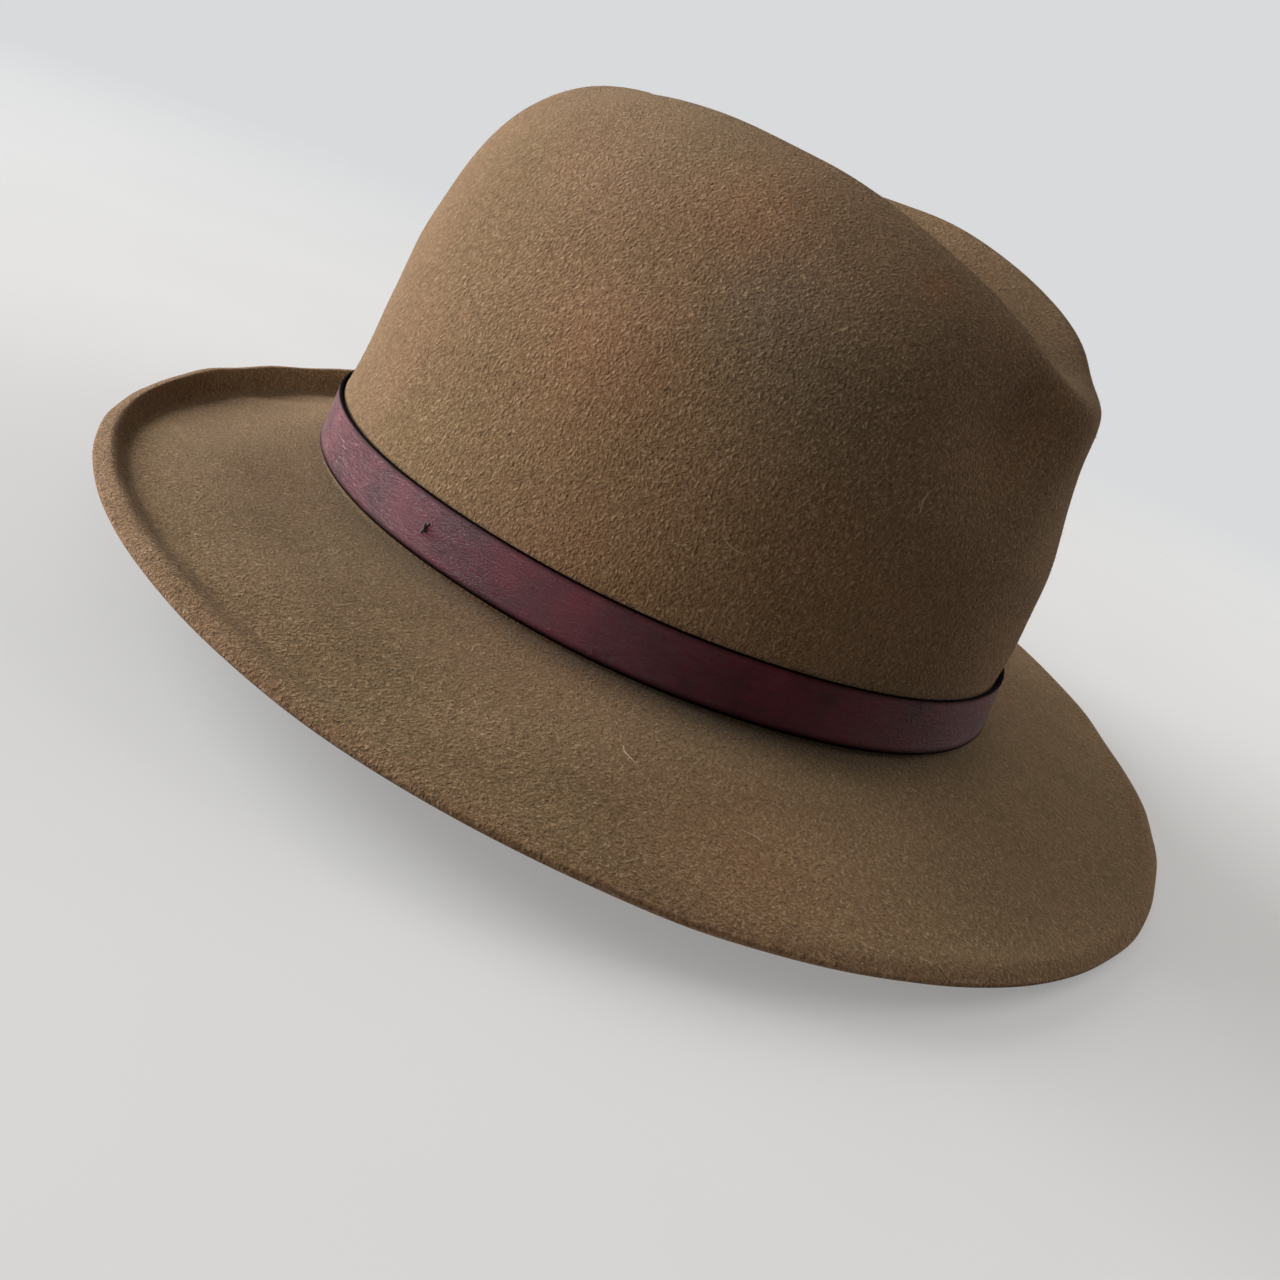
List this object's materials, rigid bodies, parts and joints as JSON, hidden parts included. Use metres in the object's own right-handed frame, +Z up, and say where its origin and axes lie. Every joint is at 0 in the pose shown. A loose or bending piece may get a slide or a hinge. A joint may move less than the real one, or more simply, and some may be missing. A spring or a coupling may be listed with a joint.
{
  "type": "fedora hat",
  "caption": "Felt fedora with a teardrop pinched crown, a leather band, a front brim that snaps up and down, and a lined head opening with a sweatband.",
  "frame": {"origin": "centre of the head opening, in the plane where the crown meets the brim", "axes": "+X towards the wearer's front, +Y towards the wearer's left, +Z up through the crown"},
  "size_m": [0.3133, 0.321, 0.1368],
  "materials": {
    "felt": "fuzzy short-nap wool felt, olive brown, mottled, raw cut edge",
    "band_leather": "plum leather, finely creased satin grain, dark cut edges",
    "black_thread": "waxed black sewing thread",
    "sweat_leather": "smooth tan-brown leather",
    "reed_plastic": "translucent off-white reed",
    "tape_cloth": "dark brown woven cotton tape",
    "tan_thread": "tan sewing thread",
    "bow_ribbon": "dark brown ribbed ribbon",
    "lining_satin": "warm brown satin",
    "piping_satin": "dark brown satin cord",
    "tab_cloth": "blank off-white woven tab"
  },
  "bodies": {
    "crown": {"felt_body": "felt", "hat_band": "band_leather", "band_tacks": "black_thread", "band_lap_stitches": "black_thread", "sweatband": "sweat_leather", "sweatband_reed": "reed_plastic", "reed_tape": "tape_cloth", "sweatband_stitching": "tan_thread", "sweatband_back_tape": "tape_cloth", "sweatband_seam_stitches": "tan_thread", "sweatband_bow": "bow_ribbon", "lining_side": "lining_satin", "lining_tip": "lining_satin", "lining_piping": "piping_satin", "size_tab": "tab_cloth"},
    "brim_front": {"felt_brim_front": "felt"}
  },
  "joints": [
    {"name": "front_snap", "type": "hinge", "parent": "crown", "child": "brim_front", "pos_m": [0.109, 0, -0.004], "axis": [0, -1, 0], "range_deg": [-8, 30]}
  ]
}
